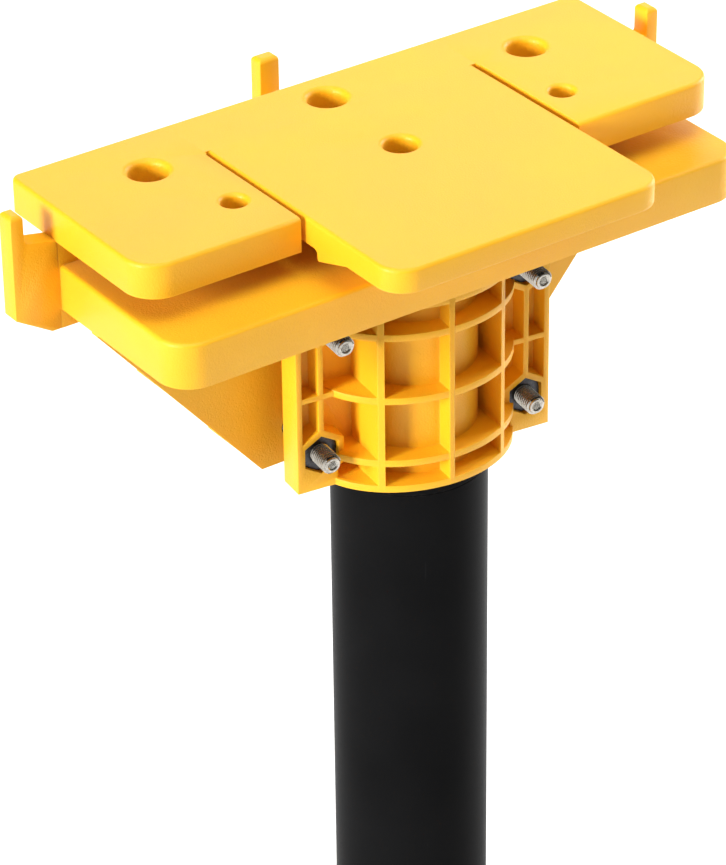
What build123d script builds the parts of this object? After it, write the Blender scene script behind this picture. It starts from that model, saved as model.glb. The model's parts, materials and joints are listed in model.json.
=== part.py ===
from build123d import *
import math
import os

# Two-tier bracket head clamped to the spigot of a round post. Millimetres.
# X runs along the plates, -Y is the front, +Z is up. The origin is the centre of the post's foot.

# post, its shoulder ring and the spigot that the clamp holds
post_od = 76.1
spigot_od = 60.3
tube_wall = 2.9
ring_thick = 5.0
ring_gap = 1.0
tube_chamfer = 0.6
head_top = 520.0
post_top_gap = 2.0

# upper plate and its snap tongue
plate_length = 323.0
wing_front = 28.0
back_edge = 85.0
upper_thick = 17.0
wing_corner = 16.0
back_corner = 5.0
edge_round = 2.0
tongue_half = 75.6
tongue_front = 96.0
tongue_root = 49.7
tongue_thick = 13.5
tongue_nose = 12.0
tongue_corner = 14.0
tongue_nose_solid = 7.8
slit_width = 2.6
root_gap = 0.1
barb_drop = 5.5
barb_back = 36.0
barb_ramp = 23.0

# slot and lower plate
slot_high = 13.0
lower_thick = 22.5
lower_inset = 1.5
lower_front = 51.0
lower_corner = 16.0

# ribbed undersides
skin = 3.4
rib = 2.6
cell = 34.0

# holes in the upper plate: x, y, radius, lip radius
large_hole_r = 9.5
large_lip = 3.0
large_side_x = 107.7
large_side_y = 51.7
large_mid_y = 64.0
tongue_hole_r = 8.2
tongue_lip = 2.6
tongue_hole_y = 5.0
small_hole_r = 6.2
small_lip = 2.2
small_x = 92.7
small_y = 4.0
boss_wall = 3.0
shaft_clear = 1.0

# back wall and its hooks
wall_front = 46.0
wall_thick = 10.0
wall_drop = 9.6
wall_relief = 80.0
wall_mid_drop = 4.0
hook_reach = 22.5
hook_thick = 6.5
hook_rise = 1.5
hook_tip_round = 2.6
hook_root_round = 3.0
hook_foot_step = 4.0
hook_overlap = 1.0
arm_top_drop = 16.5
arm_top_rise = 3.0
arm_tip_drop = 51.0
rear_hook_y = 112.0
rear_hook_thick = 8.0
rear_hook_half = 5.5
rear_arm_top = 26.0
rear_arm_low = 52.0
rear_root_round = 4.0
rear_tip_rise = 10.0
rear_foot_drop = 8.0

# clamp
clamp_yaw = 7.0
clamp_top_gap = 5.0
clamp_height = 101.0
mid_rib_offset = 1.0
bore_clear = 0.2
shell_wall = 2.7
contour_x = 52.0
contour_y = 42.5
part_line = 1.5
flange_half = 67.7
flange_front = 16.0
flange_base = 6.0
web = 2.8
ring_web = 3.6
web_x = 32.5
rear_web_x = 23.2
saddle_front = 6.0
bolt_x = 55.0
bolt_top_inset = 12.25
bolt_foot_inset = 18.25
panel_front = 21.5
panel_thick = 5.0
panel_foot = 70.0
panel_angle = 49.5
seat_back = 36.0
seat_boss_r = 12.5
gusset = 4.0
gusset_steps = (12.0, 50.0)

# fasteners (M10)
thread_r = 5.0
thread_chamfer = 1.0
bolt_hole_r = 5.5
nut_af = 17.0
nut_high = 8.0
pocket_clear = 0.2
pocket_lip = 2.0
pocket_ring = 1.0
nut_crown = 0.9
nut_chamfer = 0.7
washer_r = 10.0
washer_thick = 2.0
head_high = 6.4
short_bolt = 65.0
middle_bolt = 70.0
long_bolt = 80.0
washer_clear = 0.25
nut_clear = 0.05
spot_clear = 2.0

# how far a cutting or keeping block reaches past the part
past = 1.0
far = 200.0

post_r = post_od / 2
spigot_r = spigot_od / 2
bore_r = spigot_r + bore_clear
half = plate_length / 2
upper_low = -upper_thick
lower_high = upper_low - slot_high
lower_low = lower_high - lower_thick
lower_half = half - lower_inset
clamp_top = lower_low - clamp_top_gap
clamp_low = clamp_top - clamp_height
# the middle rib sits halfway, and the next ones a third of the height away
mid_rib_drop = clamp_height / 2 + mid_rib_offset
rib_step = clamp_height / 3
clamp_mid = clamp_top - mid_rib_drop
bolt_levels = (clamp_top - bolt_top_inset, clamp_low + bolt_foot_inset)
ring_top = clamp_low - ring_gap
wall_back = wall_front + wall_thick
wall_low = lower_low - wall_drop
shaft_r = large_hole_r + shaft_clear
collar_r = shaft_r + boss_wall
nut_seat = flange_front - pocket_lip - nut_high


def block(x0, x1, y0, y1, z0, z1):
    return Pos((x0 + x1) / 2, (y0 + y1) / 2, (z0 + z1) / 2) * Box(abs(x1 - x0), abs(y1 - y0), abs(z1 - z0))


def rod(r, x, y, z0, z1):
    return Pos(x, y, (z0 + z1) / 2) * Cylinder(r, abs(z1 - z0))


def bar_y(r, x, z, y0, y1):
    return Pos(x, (y0 + y1) / 2, z) * Rot(90, 0, 0) * Cylinder(r, abs(y1 - y0))


def hex_y(af, x, z, y0, y1):
    """Hexagonal prism along Y with a corner pointing up."""
    outline = RegularPolygon(af / math.sqrt(3), 6, rotation=90)
    prism = extrude(outline, abs(y1 - y0))
    return Pos(x, max(y0, y1), z) * Rot(90, 0, 0) * prism


def plate_outline(x0, x1, y0, y1, r_front, r_back):
    """Rectangle with its own corner radius at the front (low Y) and the back."""
    line = Polyline((x0, y0), (x1, y0), (x1, y1), (x0, y1), close=True)
    face = make_face(line)
    front = [v for v in face.vertices() if abs(v.Y - y0) < 0.01]
    face = fillet(front, r_front)
    if r_back > 0:
        rear = [v for v in face.vertices() if abs(v.Y - y1) < 0.01]
        face = fillet(rear, r_back)
    return face


def lip_cut(x, y, r, lip, top):
    """Round hole with a rolled-over mouth at height top."""
    profile = Polyline((0, past), (r + lip, past), (r + lip, 0)) + \
        RadiusArc((r + lip, 0), (r, -lip), -lip) + Polyline((r, -lip), (r, -far), (0, -far), (0, past))
    section = make_face(profile)
    return Pos(x, y, top) * revolve(Plane.XZ * section, Axis.Z)


def cells(x0, x1, y0, y1, z0, z1):
    """Pockets of a ribbed underside: a grid of blocks with a rib between neighbours."""
    nx = max(1, round((x1 - x0) / cell))
    ny = max(1, round((y1 - y0) / cell))
    dx = (x1 - x0 + rib) / nx
    dy = (y1 - y0 + rib) / ny
    pockets = []
    for i in range(nx):
        for j in range(ny):
            px = x0 + i * dx
            py = y0 + j * dy
            pockets.append(block(px, px + dx - rib, py, py + dy - rib, z0, z1))
    return pockets


def hollow(solid, pockets, keep):
    """Cut the pockets but leave the hole bosses standing."""
    cut = Part() + pockets
    if keep:
        cut = cut - keep
    return solid - cut


def round_top(solid, top, radius, pick):
    edges = [e for e in solid.edges() if abs(e.bounding_box().min.Z - top) < 0.01
             and abs(e.bounding_box().max.Z - top) < 0.01 and pick(e.center())]
    return fillet(edges, radius)


def upper_plate():
    face = plate_outline(-half, half, -wing_front, back_edge, wing_corner, back_corner)
    gap = tongue_half + slit_width
    solid = Pos(0, 0, upper_low) * extrude(face, upper_thick)
    solid = solid - block(-gap, gap, -wing_front - past, tongue_root - slit_width, upper_low - past, past)
    for side in (-1, 1):
        inner = tongue_half * side
        outer = gap * side
        solid = solid - block(inner, outer, 0, tongue_root - slit_width / 2, upper_low - past, past)
        slit_end = tongue_root - slit_width / 2
        solid = solid - rod(slit_width / 2, (inner + outer) / 2, slit_end, upper_low - past, past)
    solid = solid - block(-tongue_half, tongue_half, 0, tongue_root, upper_low - past, past)
    solid = round_top(solid, 0, edge_round, lambda c: abs(c.X) > gap + 1 or c.Y > tongue_root + 5)
    holes = [(side * large_side_x, large_side_y, large_hole_r, large_lip) for side in (-1, 1)]
    holes += [(0, large_mid_y, large_hole_r, large_lip)]
    holes += [(side * small_x, small_y, small_hole_r, small_lip) for side in (-1, 1)]
    bosses = [rod(r + boss_wall, x, y, upper_low - 2, 0) for x, y, r, lip in holes]
    pockets = cells(-half + skin, half - skin, wall_back, back_edge - skin, upper_low - past, -skin)
    for side in (-1, 1):
        lo, hi = sorted((side * (gap + skin), side * (half - skin)))
        pockets += cells(lo, hi, -wing_front + skin, wall_front - rib, upper_low - past, -skin)
    inside = plate_outline(-half + skin, half - skin, -wing_front + skin, back_edge - skin,
                           wing_corner - skin, back_corner - skin)
    within = Pos(0, 0, upper_low - past) * extrude(inside, upper_thick)
    solid = hollow(solid, [(Part() + pockets) & within], Part() + bosses)
    for x, y, r, lip in holes:
        solid = solid - lip_cut(x, y, r, lip, 0)
    return solid


def tongue():
    tip = -tongue_front
    root = tongue_root - root_gap
    barb_low = -tongue_thick - barb_drop
    side = Polyline((root, 0), (tip, 0), (tip, -tongue_nose), (-barb_back - barb_ramp, -tongue_nose),
                    (-barb_back - 1, barb_low), (-barb_back, barb_low + 1), (-barb_back, -tongue_thick - 1),
                    (-barb_back + 2, -tongue_thick), (root, -tongue_thick), close=True)
    body = Pos(-tongue_half, 0, 0) * extrude(Plane.YZ * make_face(side), 2 * tongue_half)
    outline = plate_outline(-tongue_half, tongue_half, tip, root, tongue_corner, 0)
    body = body & (Pos(0, 0, barb_low - past) * extrude(outline, -barb_low + past))
    body = round_top(body, 0, edge_round, lambda c: c.Y < root - 1)
    boss = rod(tongue_hole_r + boss_wall, 0, tongue_hole_y, -far, 0)
    x_in = tongue_half - skin
    pockets = cells(-x_in, x_in, -barb_back + tongue_nose_solid, root - skin, -far, -skin)
    body = hollow(body, pockets, boss)
    return body - lip_cut(0, tongue_hole_y, tongue_hole_r, tongue_lip, 0)


def lower_plate():
    face = plate_outline(-lower_half, lower_half, -lower_front, wall_front, lower_corner, 0)
    solid = Pos(0, 0, lower_low) * extrude(face, lower_thick)
    solid = round_top(solid, lower_high, edge_round, lambda c: c.Y < wall_front - 1)
    x_in = lower_half - skin
    roof = lower_high - skin
    pockets = cells(-x_in, x_in, -lower_front + skin, panel_front - rib, lower_low - past, roof)
    pockets += cells(-x_in, x_in, panel_front + panel_thick, wall_front - rib, lower_low - past, roof)
    inside = plate_outline(-x_in, x_in, -lower_front + skin, wall_front, lower_corner - skin, 0)
    corner = Pos(0, 0, lower_low - past) * extrude(inside, lower_thick - skin + past)
    pad = rod(spigot_r + 2 * skin, 0, 0, lower_low, lower_high)
    solid = solid - (((Part() + pockets) & corner) - pad)
    for x in (-large_side_x, large_side_x):
        solid = solid + (rod(collar_r, x, large_side_y, lower_low, lower_high) & ahead_of(wall_front))
        solid = solid - rod(shaft_r, x, large_side_y, lower_low - past, lower_high + past)
    return solid


def ahead_of(y_back):
    """Space in front of y_back at the lower plate's height."""
    return block(-half, half, -back_edge, y_back, lower_low, lower_high)


def back_wall():
    solid = block(hook_overlap - half, half - hook_overlap, wall_front, wall_back, wall_low, upper_low)
    for side in (-1, 1):
        x = side * large_side_x
        collar = rod(collar_r, x, large_side_y, wall_low, upper_low)
        solid = solid + (collar & block(-half, half, wall_front, back_edge, wall_low, upper_low))
        solid = solid - rod(shaft_r, x, large_side_y, wall_low - past, upper_low + past)
    relief_top = lower_low - wall_mid_drop
    relief = block(-wall_relief, wall_relief, wall_front - past, back_edge, wall_low - past, relief_top)
    return solid - rod(collar_r, 0, large_mid_y, wall_low - past, upper_low + past) - relief


def side_hook(side):
    inner = half
    outer = half + hook_reach
    y0, y1 = wall_front, wall_back
    outline = Polyline((inner, -arm_top_drop), (outer - hook_thick, arm_top_rise - arm_top_drop),
                       (outer - hook_thick, hook_rise), (outer, hook_rise), (outer, -arm_tip_drop),
                       (inner + hook_foot_step, wall_low), (inner - hook_overlap, wall_low),
                       (inner - hook_overlap, upper_low),
                       (inner, upper_low), close=True)
    solid = Pos(0, y1, 0) * extrude(Plane.XZ * make_face(outline), y1 - y0)
    tips = [e for e in solid.edges() if e.bounding_box().min.Z > hook_rise - 0.01]
    solid = fillet(tips, hook_tip_round)
    root = [e for e in solid.edges() if abs(e.center().Z + arm_top_drop - arm_top_rise) < 0.01
            and abs(e.center().X - outer + hook_thick) < 0.01]
    solid = fillet(root, hook_root_round)
    return solid if side > 0 else mirror(solid, Plane.YZ)


def rear_hook():
    y_tip = rear_hook_y + rear_hook_thick
    foot = -rear_arm_low - rear_foot_drop
    outline = Polyline((wall_back, -rear_arm_top), (rear_hook_y, -rear_arm_top), (rear_hook_y, hook_rise),
                       (y_tip, hook_rise), (y_tip, rear_tip_rise - rear_arm_low),
                       (wall_back, foot), close=True)
    x = rear_hook_half
    solid = Pos(-x, 0, 0) * extrude(Plane.YZ * make_face(outline), 2 * x)
    tips = [e for e in solid.edges() if e.bounding_box().min.Z > hook_rise - 0.01]
    solid = fillet(tips, hook_tip_round)
    root = [e for e in solid.edges() if abs(e.center().Z + rear_arm_top) < 0.01
            and abs(e.center().Y - rear_hook_y) < 0.01]
    solid = fillet(root, rear_root_round)
    collar = rod(collar_r, 0, large_mid_y, foot, upper_low)
    return solid + collar - rod(shaft_r, 0, large_mid_y, -far, 0)


def contour(y_from, z0, z1, front):
    """Elliptical outline of the clamp's ribs on one side of the line y = y_from."""
    disc = Pos(0, 0, z0) * extrude(Ellipse(contour_x, contour_y), z1 - z0)
    y0, y1 = (-far, y_from) if front else (y_from, far)
    keep = block(-far, far, y0, y1, z0 - past, z1 + past)
    return disc & keep


def rib_levels():
    t = ring_web / 2
    inner = (clamp_mid + rib_step, clamp_mid, clamp_mid - rib_step)
    outer = [(clamp_low, clamp_low + ring_web), (clamp_top - ring_web, clamp_top)]
    return outer + [(z - t, z + t) for z in inner]


def clamp_front_half():
    low, top = clamp_low, clamp_top
    near = -part_line
    shell = rod(bore_r + shell_wall, 0, 0, low, top) & block(-far, far, -far, near, low, top)
    body = Part() + shell
    for z0, z1 in rib_levels():
        body = body + contour(near, z0, z1, True)
    whole = contour(near, low, top, True)
    for x in (-web_x, 0, web_x):
        body = body + (whole & block(x - web / 2, x + web / 2, -far, near, low, top))
    for side in (-1, 1):
        edge = side * flange_half
        wall = side * (flange_half - web)
        start = side * spigot_r
        body = body + block(start, edge, near, -flange_base, low, top)
        body = body + block(wall, edge, near, -flange_front, low, top)
        for z0, z1 in ((low, low + web), (clamp_mid - web / 2, clamp_mid + web / 2), (top - web, top)):
            body = body + block(side * (spigot_r + web), edge, near, -flange_front, z0, z1)
        rib_x = side * bolt_x
        body = body + block(rib_x - web / 2, rib_x + web / 2, near, -flange_front, low, top)
        lo, hi = sorted((rib_x - side * nut_af / 2, edge))
        body = body + block(lo, hi, near, -flange_front, low, bolt_levels[1] - nut_af / 4)
        for z in bolt_levels:
            ring = hex_y(nut_af + 2 * web + pocket_ring, rib_x, z, -flange_front, near)
            body = body + (ring & block(-far, far, -far, near, low, top))
    body = body - rod(bore_r, 0, 0, low - past, top + past)
    for side in (-1, 1):
        for z in bolt_levels:
            x = side * bolt_x
            body = body - hex_y(nut_af + 2 * pocket_clear, x, z, -nut_seat, -flange_front - past)
            body = body - bar_y(bolt_hole_r, x, z, -flange_front - past, part_line)
    return turned(body)


def turned(shape):
    """Turn a clamp piece about the post by the clamp's yaw."""
    return Rot(0, 0, -clamp_yaw) * shape


def panel_profile():
    """Back panel seen from the front: full width at the top, running in at an angle to the clamp."""
    run = (lower_low - clamp_low) / math.tan(math.radians(panel_angle))
    wide = min(panel_foot + run, lower_half - skin)
    shoulder = lower_low - (panel_foot + run - wide) * math.tan(math.radians(panel_angle))
    right = [(wide, lower_low), (panel_foot, clamp_low)]
    if shoulder < lower_low:
        right.insert(1, (wide, shoulder))
    left = [(-x, z) for x, z in reversed(right)]
    return Polyline(*right, *left, close=True)


def clamp_back_half():
    low, top = clamp_low, clamp_top
    y0 = panel_front
    y1 = panel_front + panel_thick
    outline = make_face(panel_profile())
    panel = Pos(0, y1, 0) * extrude(Plane.XZ * outline, panel_thick)
    shell = rod(bore_r + shell_wall, 0, 0, low, lower_low) & block(-far, far, saddle_front, far, low, lower_low)
    body = panel + shell
    for z0, z1 in rib_levels():
        body = body + contour(y1, z0, z1, False)
    whole = contour(y1, low, lower_low, False)
    for x in (-rear_web_x, 0, rear_web_x):
        body = body + (whole & block(x - web / 2, x + web / 2, y0, far, low, lower_low))
    deep = Pos(0, wall_front, 0) * extrude(Plane.XZ * outline, wall_front - y1)
    for side in (-1, 1):
        for step in gusset_steps:
            cx = side * (panel_foot + step)
            body = body + (deep & block(cx - gusset / 2, cx + gusset / 2, y1, wall_front, low, lower_low))
        for z in bolt_levels:
            boss = turned(bar_y(seat_boss_r, side * bolt_x, z, 0, seat_back))
            body = body + (boss & block(-far, far, y0 + past, far, low - far, lower_low))
    body = body - rod(bore_r, 0, 0, low - past, lower_low + past)
    for side in (-1, 1):
        for z in bolt_levels:
            body = body - turned(bar_y(bolt_hole_r, side * bolt_x, z, 0, far))
            body = body - turned(bar_y(washer_r + spot_clear, side * bolt_x, z, seat_back, far))
    return body


def bolt(side, z, length):
    """Hex-head bolt along Y: head at the back, chamfered thread end at the front."""
    x = side * bolt_x
    under = seat_back + washer_thick
    end = under - length
    shank = bar_y(thread_r, x, z, end, under)
    rim = shank.edges().filter_by(GeomType.CIRCLE).sort_by(Axis.Y)[0]
    shank = chamfer(rim, thread_chamfer)
    head = hex_y(nut_af, x, z, under, under + head_high)
    return turned(shank + head)


def nut(side, z):
    x = side * bolt_x
    body = hex_y(nut_af, x, z, -nut_seat - nut_high, -nut_seat)
    cone = bar_y(nut_af / 2 + nut_crown, x, z, -nut_seat - nut_high, -nut_seat)
    rims = cone.edges().filter_by(GeomType.CIRCLE)
    cone = chamfer(rims, nut_chamfer)
    body = body & cone
    return turned(body - bar_y(thread_r + nut_clear, x, z, -far, far))


def washer(side, z):
    x = side * bolt_x
    ring = bar_y(washer_r, x, z, seat_back, seat_back + washer_thick)
    return turned(ring - bar_y(thread_r + washer_clear, x, z, 0, far))


def tube(od, low, top):
    """Open tube with its outer rims broken."""
    body = rod(od / 2, 0, 0, low, top) - rod(od / 2 - tube_wall, 0, 0, low - past, top + past)
    rims = [e for e in body.edges().filter_by(GeomType.CIRCLE) if e.radius > od / 2 - tube_wall / 2]
    return chamfer(rims, tube_chamfer)


def shoulder_ring():
    body = rod(post_r, 0, 0, ring_top - ring_thick, ring_top)
    body = chamfer(body.edges().filter_by(GeomType.CIRCLE).sort_by(Axis.Z)[-1], tube_chamfer)
    return body - rod(spigot_r - tube_wall, 0, 0, clamp_low - far, clamp_low + far)


pieces = {
    "post_tube": tube(post_od, -head_top, ring_top - ring_thick),
    "shoulder_ring": shoulder_ring(),
    "post_spigot": tube(spigot_od, ring_top, lower_low - post_top_gap),
    "upper_plate": upper_plate(),
    "snap_tongue": tongue(),
    "lower_plate": lower_plate(),
    "back_wall": back_wall(),
    "left_hook": side_hook(-1),
    "right_hook": side_hook(1),
    "rear_hook": rear_hook(),
    "clamp_back_half": clamp_back_half(),
    "clamp_front_half": clamp_front_half(),
    "long_bolt": bolt(-1, bolt_levels[0], long_bolt),
    "middle_bolt": bolt(1, bolt_levels[0], middle_bolt),
    "short_bolts": Compound([bolt(s, bolt_levels[1], short_bolt).solid() for s in (-1, 1)]),
    "clamp_nuts": Compound([nut(s, z).solid() for s in (-1, 1) for z in bolt_levels]),
    "bolt_washers": Compound([washer(s, z).solid() for s in (-1, 1) for z in bolt_levels]),
}

os.makedirs("parts", exist_ok=True)
for name, shape in pieces.items():
    export_step(Pos(0, 0, head_top) * shape, "parts/" + name + ".step")
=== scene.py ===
import bpy
import json
import math
from mathutils import Matrix, Vector


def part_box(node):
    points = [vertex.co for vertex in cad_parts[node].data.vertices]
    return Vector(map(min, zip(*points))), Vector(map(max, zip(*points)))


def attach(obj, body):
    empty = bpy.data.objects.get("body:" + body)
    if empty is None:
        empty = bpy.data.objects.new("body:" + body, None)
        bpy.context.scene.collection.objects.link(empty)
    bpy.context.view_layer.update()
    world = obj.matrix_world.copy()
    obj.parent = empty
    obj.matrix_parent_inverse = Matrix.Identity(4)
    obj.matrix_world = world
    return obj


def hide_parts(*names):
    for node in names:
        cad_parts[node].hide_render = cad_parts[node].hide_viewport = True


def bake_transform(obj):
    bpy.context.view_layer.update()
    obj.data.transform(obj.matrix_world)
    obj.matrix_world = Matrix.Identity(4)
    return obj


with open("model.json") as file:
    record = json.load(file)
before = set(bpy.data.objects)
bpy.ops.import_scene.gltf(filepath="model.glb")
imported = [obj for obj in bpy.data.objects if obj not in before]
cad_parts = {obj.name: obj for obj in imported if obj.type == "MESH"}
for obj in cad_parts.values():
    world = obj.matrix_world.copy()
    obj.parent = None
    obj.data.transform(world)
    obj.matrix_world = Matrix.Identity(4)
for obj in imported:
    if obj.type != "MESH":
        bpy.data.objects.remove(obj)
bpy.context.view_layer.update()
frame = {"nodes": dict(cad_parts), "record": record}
nodes = frame["nodes"]
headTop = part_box("snap_tongue")[1].z
print("frame loaded", len(nodes))


def quiet():
    bpy.ops.object.select_all(action="DESELECT")


def active(piece):
    quiet()
    piece.select_set(True)
    bpy.context.view_layer.objects.active = piece


def editing(piece):
    active(piece)
    bpy.ops.object.mode_set(mode="EDIT")
    bpy.ops.mesh.select_all(action="SELECT")


def editDone():
    bpy.ops.object.mode_set(mode="OBJECT")


def applied(piece, kind, **settings):
    active(piece)
    modifier = piece.modifiers.new(kind.lower(), kind)
    for key, value in settings.items():
        setattr(modifier, key, value)
    bpy.ops.object.modifier_apply(modifier=modifier.name)


def copyOf(name, title):
    quiet()
    piece = bpy.data.objects.new(title, nodes[name].data.copy())
    bpy.context.scene.collection.objects.link(piece)
    piece.data.materials.clear()
    editing(piece)
    bpy.ops.mesh.remove_doubles(threshold=0.000004)
    bpy.ops.mesh.dissolve_limited(angle_limit=math.radians(0.6))
    editDone()
    return piece


def softEdges(piece, width, steps=2, angle=32):
    applied(piece, "BEVEL", width=width, segments=steps, limit_method="ANGLE",
            angle_limit=math.radians(angle), use_clamp_overlap=True, miter_outer="MITER_ARC")
    active(piece)
    bpy.ops.object.shade_smooth_by_angle(angle=math.radians(38))
    return piece


def newGroup(name, inputs, outputs):
    group = bpy.data.node_groups.new(name, "ShaderNodeTree")
    for title, kind, value in inputs:
        socket = group.interface.new_socket(title, in_out="INPUT", socket_type=kind)
        if value is not None:
            socket.default_value = value
    for title, kind in outputs:
        group.interface.new_socket(title, in_out="OUTPUT", socket_type=kind)
    return group, group.nodes.new("NodeGroupInput"), group.nodes.new("NodeGroupOutput")


def mathNode(tree, operation, a, b=None, clamp=False):
    node = tree.nodes.new("ShaderNodeMath")
    node.operation = operation
    node.use_clamp = clamp
    for index, value in enumerate((a, b)):
        if value is None:
            continue
        if isinstance(value, (int, float)):
            node.inputs[index].default_value = value
        else:
            tree.links.new(value, node.inputs[index])
    return node.outputs[0]


def rangeNode(tree, value, low, high, newLow, newHigh):
    node = tree.nodes.new("ShaderNodeMapRange")
    tree.links.new(value, node.inputs["Value"])
    for title, number in (("From Min", low), ("From Max", high), ("To Min", newLow), ("To Max", newHigh)):
        node.inputs[title].default_value = number
    return node.outputs["Result"]


def noiseNode(tree, vector, scale, detail=3.0, rough=0.55):
    node = tree.nodes.new("ShaderNodeTexNoise")
    tree.links.new(vector, node.inputs["Vector"])
    if isinstance(scale, (int, float)):
        node.inputs["Scale"].default_value = scale
    else:
        tree.links.new(scale, node.inputs["Scale"])
    node.inputs["Detail"].default_value = detail
    node.inputs["Roughness"].default_value = rough
    return node.outputs["Fac"]


def mixColour(tree, factor, a, b, mode="MIX"):
    node = tree.nodes.new("ShaderNodeMix")
    node.data_type = "RGBA"
    node.blend_type = mode
    for index, value in ((0, factor), (6, a), (7, b)):
        if isinstance(value, (tuple, list, int, float)):
            node.inputs[index].default_value = value
        else:
            tree.links.new(value, node.inputs[index])
    return node.outputs[2]


def edgeGroup():
    # how close a point is to a convex edge, broken up by noise
    group, start, end = newGroup("edgeWear", [("Radius", "NodeSocketFloat", 0.0012),
                                              ("Breakup", "NodeSocketFloat", 400.0)],
                                 [("Mask", "NodeSocketFloat")])
    coords = group.nodes.new("ShaderNodeTexCoord")
    soft = group.nodes.new("ShaderNodeBevel")
    soft.samples = 4
    group.links.new(start.outputs["Radius"], soft.inputs["Radius"])
    flat = group.nodes.new("ShaderNodeNewGeometry")
    dot = group.nodes.new("ShaderNodeVectorMath")
    dot.operation = "DOT_PRODUCT"
    group.links.new(soft.outputs["Normal"], dot.inputs[0])
    group.links.new(flat.outputs["Normal"], dot.inputs[1])
    turn = rangeNode(group, dot.outputs["Value"], 0.995, 0.8, 0.0, 1.0)
    patch = noiseNode(group, coords.outputs["Object"], start.outputs["Breakup"], 4.0, 0.6)
    worn = rangeNode(group, patch, 0.42, 0.62, 0.0, 1.0)
    group.links.new(mathNode(group, "MULTIPLY", turn, worn, True), end.inputs["Mask"])
    return group


def grainGroup():
    # spark-eroded moulding grain: a fine orange peel over a slow unevenness
    group, start, end = newGroup("mouldGrain", [("Grain", "NodeSocketFloat", 1500.0),
                                                ("Slow", "NodeSocketFloat", 22.0)],
                                 [("Height", "NodeSocketFloat"), ("Uneven", "NodeSocketFloat")])
    coords = group.nodes.new("ShaderNodeTexCoord")
    fine = noiseNode(group, coords.outputs["Object"], start.outputs["Grain"], 2.0, 0.6)
    slow = noiseNode(group, coords.outputs["Object"], start.outputs["Slow"], 3.0, 0.5)
    wide = mathNode(group, "MULTIPLY", slow, 0.6)
    group.links.new(mathNode(group, "ADD", fine, wide), end.inputs["Height"])
    group.links.new(slow, end.inputs["Uneven"])
    return group


def cornerShadeGroup():
    # painted shade: darkens corners and pockets where ambient occlusion finds them, broken up by speckle
    group, start, end = newGroup("cornerShade", [("Reach", "NodeSocketFloat", 0.008)],
                                 [("Mask", "NodeSocketFloat")])
    coords = group.nodes.new("ShaderNodeTexCoord")
    near = group.nodes.new("ShaderNodeAmbientOcclusion")
    near.samples = 4
    group.links.new(start.outputs["Reach"], near.inputs["Distance"])
    shade = rangeNode(group, near.outputs["AO"], 0.9, 0.3, 0.0, 1.0)
    speckle = noiseNode(group, coords.outputs["Object"], 160.0, 5.0, 0.65)
    patch = rangeNode(group, speckle, 0.35, 0.7, 0.2, 1.0)
    group.links.new(mathNode(group, "MULTIPLY", shade, patch, True), end.inputs["Mask"])
    return group


edgeWear = edgeGroup()
mouldGrain = grainGroup()
cornerShade = cornerShadeGroup()


def placed(tree, group, **values):
    node = tree.nodes.new("ShaderNodeGroup")
    node.node_tree = group
    for title, value in values.items():
        node.inputs[title].default_value = value
    return node


def spread(tree, value, low=0.3, high=0.7):
    # opens the useful middle of a noise out to the full 0 to 1
    return rangeNode(tree, value, low, high, 0.0, 1.0)


def overlay(tree, group, amount, under, colour):
    # lays a colour over another where the group's mask says
    return mixColour(tree, mathNode(tree, "MULTIPLY", group.outputs["Mask"], amount), under, colour)


def bumpInto(tree, shader, height, strength, distance):
    bump = tree.nodes.new("ShaderNodeBump")
    bump.inputs["Strength"].default_value = strength
    bump.inputs["Distance"].default_value = distance
    tree.links.new(height, bump.inputs["Height"])
    tree.links.new(bump.outputs["Normal"], shader.inputs["Normal"])


def blankMaterial(name):
    material = bpy.data.materials.new(name)
    material.use_nodes = True
    return material, material.node_tree, material.node_tree.nodes["Principled BSDF"]


# the dark brown in this table, with its amount, is painted shade laid into corners and pockets
plastic = {"colour": (0.92, 0.475, 0.009, 1), "deep": (0.90, 0.44, 0.006, 1), "worn": (0.95, 0.56, 0.07, 1),
           "paintedShade": (0.42, 0.17, 0.01, 1), "wornAmount": 0.35, "paintedShadeAmount": 0.22, "edgeRadius": 0.0012,
           "smooth": 0.39, "dull": 0.55, "grain": 1050.0, "bump": 0.5, "grainHeight": 0.0004, "specular": 0.4,
           "sheen": 0.10, "sheenSpread": 0.4, "sheenTint": (1.0, 0.96, 0.7, 1.0), "glow": 0.12,
           "glowDepth": 0.004, "glowColour": (1.0, 0.45, 0.1)}


def yellowPlastic():
    material, tree, shader = blankMaterial("yellowPlastic")
    grain = placed(tree, mouldGrain, Grain=plastic["grain"])
    edges = placed(tree, edgeWear, Radius=plastic["edgeRadius"], Breakup=260.0)
    # painted shade: occlusion lays a dark brown into the corners and pockets of the plastic
    paintedShade = placed(tree, cornerShade, Reach=0.007)
    body = mixColour(tree, spread(tree, grain.outputs["Uneven"]), plastic["deep"], plastic["colour"])
    edged = overlay(tree, edges, plastic["wornAmount"], body, plastic["worn"])
    cornerShaded = overlay(tree, paintedShade, plastic["paintedShadeAmount"], edged, plastic["paintedShade"])
    tree.links.new(cornerShaded, shader.inputs["Base Color"])
    rough = rangeNode(tree, grain.outputs["Height"], 0.4, 1.2, plastic["smooth"], plastic["dull"])
    tree.links.new(rough, shader.inputs["Roughness"])
    for title, value in (("Specular IOR Level", "specular"), ("Sheen Weight", "sheen"),
                         ("Sheen Roughness", "sheenSpread"), ("Sheen Tint", "sheenTint"),
                         ("Subsurface Weight", "glow"), ("Subsurface Scale", "glowDepth"),
                         ("Subsurface Radius", "glowColour")):
        shader.inputs[title].default_value = plastic[value]
    bumpInto(tree, shader, grain.outputs["Height"], plastic["bump"], plastic["grainHeight"])
    return material


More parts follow.
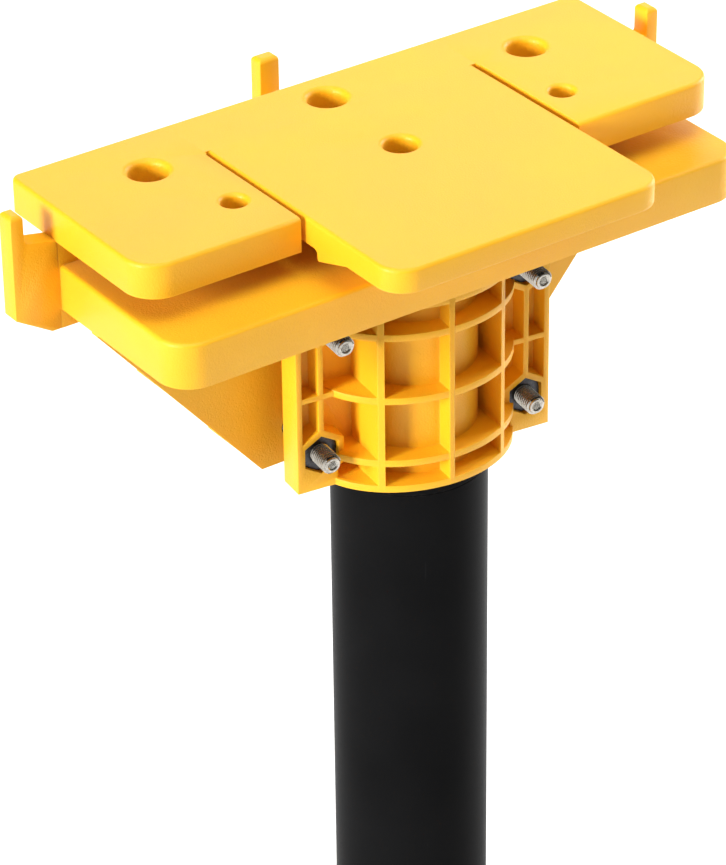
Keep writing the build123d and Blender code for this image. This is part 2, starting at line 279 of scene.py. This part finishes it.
# the near-black in this table, with its reach and amount, is painted shade for thread roots and creases
steel = {"zinc": (0.60, 0.57, 0.51, 1), "zincDull": (0.36, 0.33, 0.28, 1), "nut": (0.045, 0.045, 0.05, 1),
         "nutWorn": (0.10, 0.10, 0.105, 1), "creaseShade": (0.035, 0.026, 0.016, 1), "creaseShadeAmount": 0.9,
         "creaseShadeReach": 0.0014, "edgeRadius": 0.0005, "cloud": 900.0, "bump": 0.12, "bumpHeight": 0.0001}


def platedSteel(name, body, worn, smooth, dull, edgeShine):
    material, tree, shader = blankMaterial(name)
    coords = tree.nodes.new("ShaderNodeTexCoord")
    cloud = noiseNode(tree, coords.outputs["Object"], steel["cloud"], 5.0, 0.6)
    edges = placed(tree, edgeWear, Radius=steel["edgeRadius"], Breakup=900.0)
    # painted shade: occlusion lays near-black into the thread roots and other creases of the steel
    paintedShade = placed(tree, cornerShade, Reach=steel["creaseShadeReach"])
    tone = mixColour(tree, spread(tree, cloud), body, worn)
    edged = overlay(tree, edges, edgeShine, tone, steel["zinc"])
    creaseShaded = overlay(tree, paintedShade, steel["creaseShadeAmount"], edged, steel["creaseShade"])
    tree.links.new(creaseShaded, shader.inputs["Base Color"])
    shader.inputs["Metallic"].default_value = 1.0
    tree.links.new(rangeNode(tree, cloud, 0.3, 0.7, smooth, dull), shader.inputs["Roughness"])
    bumpInto(tree, shader, cloud, steel["bump"], steel["bumpHeight"])
    return material


coat = {"black": (0.004, 0.004, 0.0042, 1), "grey": (0.0065, 0.0065, 0.0068, 1), "scuff": (0.03, 0.03, 0.03, 1),
        "scuffAmount": 0.35, "wornAmount": 0.5, "edgeRadius": 0.0012, "grain": 900.0, "smooth": 0.33,
        "dull": 0.47, "ior": 1.08, "bump": 0.1, "grainHeight": 0.0003, "streak": (1.0, 1.0, 0.06)}


def blackCoat():
    material, tree, shader = blankMaterial("blackCoat")
    grain = placed(tree, mouldGrain, Grain=coat["grain"], Slow=14.0)
    edges = placed(tree, edgeWear, Radius=coat["edgeRadius"], Breakup=300.0)
    coords = tree.nodes.new("ShaderNodeTexCoord")
    stretch = tree.nodes.new("ShaderNodeMapping")
    stretch.inputs["Scale"].default_value = coat["streak"]
    tree.links.new(coords.outputs["Object"], stretch.inputs["Vector"])
    streaks = noiseNode(tree, stretch.outputs["Vector"], 420.0, 4.0, 0.7)
    rubbed = rangeNode(tree, streaks, 0.68, 0.8, 0.0, coat["scuffAmount"])
    body = mixColour(tree, spread(tree, grain.outputs["Uneven"]), coat["black"], coat["grey"])
    scuffed = mixColour(tree, rubbed, body, coat["scuff"])
    edged = overlay(tree, edges, coat["wornAmount"], scuffed, coat["scuff"])
    tree.links.new(edged, shader.inputs["Base Color"])
    rough = rangeNode(tree, grain.outputs["Height"], 0.4, 1.2, coat["smooth"], coat["dull"])
    tree.links.new(rough, shader.inputs["Roughness"])
    shader.inputs["IOR"].default_value = coat["ior"]
    bumpInto(tree, shader, grain.outputs["Height"], coat["bump"], coat["grainHeight"])
    return material


yellow = yellowPlastic()
zinc = platedSteel("zincSteel", steel["zinc"], steel["zincDull"], 0.16, 0.32, 0.6)
darkNut = platedSteel("darkSteel", steel["nut"], steel["nutWorn"], 0.34, 0.5, 0.25)
black = blackCoat()
slots = {"yellow_plastic": yellow, "zinc_steel": zinc, "dark_steel": darkNut, "black_coat": black}
for entry in frame["record"]["subparts"]:
    mesh = nodes[entry["node"]].data
    mesh.materials.clear()
    mesh.materials.append(slots[entry["material_slot"]])
print("materials ready")


def finished(piece, material, slotName, body, *replaced):
    piece.data.materials.clear()
    piece.data.materials.append(material)
    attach(piece, body)
    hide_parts(*replaced)
    return piece


def yellowPiece(name, title, width, body="head"):
    return finished(softEdges(copyOf(name, title), width), yellow, "yellow_plastic", body, name)


tongueRoot = {"split": 0.0771, "join": 0.0512, "trim": 0.0478, "bendFrom": 0.054, "bendTo": 0.043,
              "folds": (0.0435, 0.0455, 0.0475, 0.0495, 0.0525)}
soft = {"plate": 0.0008, "clamp": 0.0005, "hook": 0.0008, "bolt": 0.0004, "nut": 0.0005, "washer": 0.0003}


def halved(piece, place, normal):
    # keeps what lies behind the plane and closes the cut
    editing(piece)
    bpy.ops.mesh.bisect(plane_co=place, plane_no=normal, use_fill=True, clear_outer=True)
    editDone()


def picked(piece, test):
    # leaves selected, in edit mode, only the points that pass the test
    bpy.ops.mesh.select_all(action="DESELECT")
    editDone()
    for point in piece.data.vertices:
        point.select = bool(test(point.co))
    bpy.ops.object.mode_set(mode="EDIT")


def duplicate(piece, title):
    twin = bpy.data.objects.new(title, piece.data.copy())
    bpy.context.scene.collection.objects.link(twin)
    return twin


def joined(first, second):
    active(first)
    second.select_set(True)
    bpy.ops.object.join()
    return first


def plateAndTongue():
    # the plate's two wings are one piece; the tongue and the strip behind it are another, cut across at the
    # fold lines
    split, join = tongueRoot["split"], tongueRoot["join"]
    plate = softEdges(copyOf("upper_plate", "upperPlate"), soft["plate"])
    strip = duplicate(plate, "snapTongue")
    rightWing = duplicate(plate, "rightWing")
    halved(plate, (-split, 0, 0), (1, 0, 0))
    halved(rightWing, (split, 0, 0), (-1, 0, 0))
    joined(plate, rightWing)
    halved(strip, (split, 0, 0), (1, 0, 0))
    halved(strip, (-split, 0, 0), (-1, 0, 0))
    halved(strip, (0, join, 0), (0, -1, 0))
    flap = softEdges(copyOf("snap_tongue", "flap"), soft["plate"])
    halved(flap, (0, tongueRoot["trim"], 0), (0, 1, 0))
    editing(flap)
    picked(flap, lambda point: point.y > tongueRoot["trim"] - 0.00001)
    bpy.ops.transform.translate(value=(0, join - tongueRoot["trim"], 0))
    editDone()
    joined(strip, flap)
    editing(strip)
    for y in tongueRoot["folds"]:
        bpy.ops.mesh.select_all(action="SELECT")
        bpy.ops.mesh.bisect(plane_co=(0, y, 0), plane_no=(0, 1, 0))
    editDone()
    for piece in (plate, strip):
        active(piece)
        bpy.ops.object.shade_smooth_by_angle(angle=math.radians(38))
    finished(plate, yellow, "yellow_plastic", "head", "upper_plate")
    strip.data.materials.clear()
    strip.data.materials.append(yellow)
    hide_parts("snap_tongue")
    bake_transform(strip)


yellowPiece("lower_plate", "lowerPlate", soft["plate"])
plateAndTongue()
yellowPiece("clamp_front_half", "frontClamp", soft["clamp"], "front_clamp")
hookTrim = 0.001


def hookPiece(node, title, side):
    # its inner end is cut square again after softening, so that it runs into the wall with no groove
    piece = softEdges(copyOf(node, title), soft["hook"])
    end = min(side * corner.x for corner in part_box(node))
    halved(piece, (side * (end + hookTrim), 0, 0), (-side, 0, 0))
    editing(piece)
    picked(piece, lambda point: side * point.x < end + hookTrim + 0.00001)
    bpy.ops.transform.translate(value=(-side * hookTrim, 0, 0))
    editDone()
    return finished(piece, yellow, "yellow_plastic", "head", node)


hookPiece("left_hook", "leftHook", -1)
hookPiece("right_hook", "rightHook", 1)
yellowPiece("rear_hook", "rearHook", soft["hook"])
print("head softened")

bolt = {"major": 0.005, "minor": 0.0039, "pitch": 0.0015, "threaded": 0.036, "flank": 30, "tip": 0.0006,
        "runOut": 0.0010, "runOutRise": 0.0004, "runOutTaper": 0.82, "dimple": 0.0006, "rim": 0.0007,
        "dimpleSlope": 0.0008, "coreFit": 0.00005, "overlap": 4, "yaw": 7.0,
        "outline": ((0, 0.12), (0.88, 0.32), (0.12, 0.05), (0, 0.08), (-0.12, 0.05), (-0.88, 0.32), (0, 0.06))}
towardsFront = Vector((-math.sin(math.radians(bolt["yaw"])), -math.cos(math.radians(bolt["yaw"])), 0))


def threadSkin(title, turns):
    # one pitch of the thread's outline, drawn point by point, then screwed down the bar; its tip is at z = 0
    pitch, depth = bolt["pitch"], bolt["major"] - bolt["minor"]
    quiet()
    bpy.ops.mesh.primitive_plane_add(size=0.001, location=(bolt["minor"], 0, 0))
    piece = bpy.context.object
    piece.name = title
    editing(piece)
    bpy.ops.mesh.merge(type="CENTER")
    for reach, rise in bolt["outline"]:
        step = (reach * depth, 0, rise * pitch)
        bpy.ops.mesh.extrude_vertices_move(TRANSFORM_OT_translate={"value": step})
    editDone()
    bpy.ops.object.transform_apply(location=True, rotation=True, scale=True)
    applied(piece, "SCREW", axis="Z", angle=math.tau, steps=bolt["flank"], render_steps=bolt["flank"],
            screw_offset=-pitch, iterations=turns, use_merge_vertices=True, merge_threshold=0.00001)
    low, high = -(turns - 1.2) * pitch, -bolt["runOut"]
    editing(piece)
    bpy.ops.mesh.remove_doubles(threshold=0.00002)
    bpy.ops.mesh.bisect(plane_co=(0, 0, high), plane_no=(0, 0, 1), clear_outer=True)
    bpy.ops.mesh.select_all(action="SELECT")
    bpy.ops.mesh.bisect(plane_co=(0, 0, low), plane_no=(0, 0, -1), clear_outer=True)
    taper = bolt["runOutTaper"]
    for end, rise in ((high, bolt["runOutRise"]), (low, -bolt["runOut"])):
        picked(piece, lambda point: abs(point.z - end) < 0.000005)
        bpy.ops.mesh.extrude_edges_move(TRANSFORM_OT_translate={"value": (0, 0, rise)})
        bpy.ops.transform.resize(value=(taper, taper, 1), center_override=(0, 0, 0))
        bpy.ops.mesh.edge_face_add()
    bpy.ops.mesh.select_all(action="SELECT")
    bpy.ops.mesh.normals_make_consistent(inside=False)
    editDone()
    return piece


def threadedEnd(title, turns):
    # the core bar with a chamfered, countersunk tip, inside the thread's skin
    piece = threadSkin(title, turns)
    length = turns * bolt["pitch"]
    quiet()
    bpy.ops.mesh.primitive_cylinder_add(vertices=bolt["flank"], radius=bolt["minor"] + bolt["coreFit"],
                                        depth=length, location=(0, 0, -length / 2))
    core = bpy.context.object
    editing(core)
    picked(core, lambda point: point.z > 0)
    bpy.ops.mesh.bevel(offset=bolt["tip"], segments=2, affect="EDGES")
    picked(core, lambda point: point.z > length / 2 - 0.00001)
    bpy.ops.mesh.inset(thickness=bolt["rim"])
    bpy.ops.mesh.inset(thickness=bolt["dimpleSlope"])
    bpy.ops.transform.translate(value=(0, 0, -bolt["dimple"]))
    editDone()
    bpy.ops.object.transform_apply(location=True, rotation=True, scale=True)
    joined(piece, core)
    bpy.ops.object.shade_smooth_by_angle(angle=math.radians(30))
    return piece


def boltPiece(node, title, tips):
    # the frame's shank cut off behind the nut, and a threaded end set on each tip
    piece = softEdges(copyOf(node, title), soft["bolt"])
    reach = bolt["threaded"] - bolt["overlap"] * bolt["pitch"]
    cut = max(tips, key=lambda tip: tip.dot(towardsFront)) - towardsFront * reach
    editing(piece)
    bpy.ops.mesh.bisect(plane_co=cut, plane_no=towardsFront, use_fill=True, clear_outer=True)
    editDone()
    facing = towardsFront.to_track_quat("Z", "Y").to_matrix().to_4x4()
    for count, tip in enumerate(tips):
        end = threadedEnd(title + "Thread" + str(count), round(bolt["threaded"] / bolt["pitch"]))
        end.data.transform(Matrix.Translation(tip) @ facing)
        active(piece)
        end.select_set(True)
        bpy.ops.object.join()
    return finished(piece, zinc, "zinc_steel", "head", node)


def tipOf(node, side):
    # front end of the bolt on that side, read from the frame's own mesh
    points = [v.co for v in nodes[node].data.vertices if v.co.x * side > 0]
    far = max(p.dot(towardsFront) for p in points)
    rim = [p for p in points if p.dot(towardsFront) > far - 0.0001]
    return sum(rim, Vector()) / len(rim)


boltPiece("long_bolt", "longBolt", [tipOf("long_bolt", -1)])
boltPiece("middle_bolt", "middleBolt", [tipOf("middle_bolt", 1)])
boltPiece("short_bolts", "shortBolts", [tipOf("short_bolts", -1), tipOf("short_bolts", 1)])
nuts = softEdges(copyOf("clamp_nuts", "clampNuts"), soft["nut"])
finished(nuts, darkNut, "dark_steel", "front_clamp", "clamp_nuts")
washers = softEdges(copyOf("bolt_washers", "boltWashers"), soft["washer"])
finished(washers, zinc, "zinc_steel", "head", "bolt_washers")
print("bolts threaded")

studio = {"floor": 9.0, "floorTone": (0.93, 0.93, 0.93, 1), "ambient": 0.14,
          "keyStrength": 4.3, "keyFrom": (-1.0, -0.06, 0.26), "keySoftness": 20.0,
          "topStrength": 2.05, "topFrom": (-0.12, -0.2, 1.0), "topSoftness": 50.0,
          "backPower": 20.0, "backPlace": (1.25, 1.8, 1.35), "backSize": (1.8, 1.2),
          "rightPower": 24.0, "rightPlace": (1.5, 0.0, 0.35), "rightSize": (0.6, 1.0), "aimDrop": 0.1}
quiet()
bpy.ops.mesh.primitive_plane_add(size=studio["floor"])
floor = bpy.context.object
floor.name = "floor"
floorMaterial, floorTree, floorShader = blankMaterial("paleFloor")
floorShader.inputs["Base Color"].default_value = studio["floorTone"]
floorShader.inputs["Roughness"].default_value = 0.9
floor.data.materials.append(floorMaterial)

world = bpy.data.worlds.new("studio")
bpy.context.scene.world = world
world.use_nodes = True
world.node_tree.nodes["Background"].inputs["Color"].default_value = (1, 1, 1, 1)
world.node_tree.nodes["Background"].inputs["Strength"].default_value = studio["ambient"]


def softbox(name, side):
    # a rectangular lamp placed from the head's top, turned to the head
    light = bpy.data.lights.new(name, "AREA")
    light.shape = "RECTANGLE"
    light.size, light.size_y = studio[side + "Size"]
    light.energy = studio[side + "Power"]
    holder = bpy.data.objects.new(name, light)
    holder.location = Vector(studio[side + "Place"]) + Vector((0, 0, headTop))
    aim = Vector((0, 0, headTop - studio["aimDrop"]))
    holder.rotation_euler = (aim - holder.location).to_track_quat("-Z", "Y").to_euler()
    bpy.context.scene.collection.objects.link(holder)


def softSun(name):
    # a distant lamp, wide enough for soft shadows
    light = bpy.data.lights.new(name, "SUN")
    light.energy = studio[name + "Strength"]
    light.angle = math.radians(studio[name + "Softness"])
    holder = bpy.data.objects.new(name, light)
    holder.rotation_euler = Vector(studio[name + "From"]).to_track_quat("Z", "Y").to_euler()
    bpy.context.scene.collection.objects.link(holder)


softSun("key")
softSun("top")
softbox("backBox", "back")
softbox("rightBox", "right")

camera = {"place": (-0.9864, -1.3750, 0.8706), "right": (0.8161, -0.5778, -0.0111),
          "up": (0.3067, 0.4168, 0.8557), "back": (-0.4899, -0.7017, 0.5173), "lens": 172.5}
eye = bpy.data.cameras.new("camera")
eye.lens = camera["lens"]
eye.sensor_width = 36.0
eyeObject = bpy.data.objects.new("camera", eye)
turn = Matrix((camera["right"], camera["up"], camera["back"])).transposed()
spot = Vector(camera["place"]) + Vector((0, 0, headTop))
eyeObject.matrix_world = Matrix.Translation(spot) @ turn.to_4x4()
bpy.context.scene.collection.objects.link(eyeObject)
bpy.context.scene.camera = eyeObject
bpy.context.scene.view_settings.view_transform = "Standard"
print("studio ready")
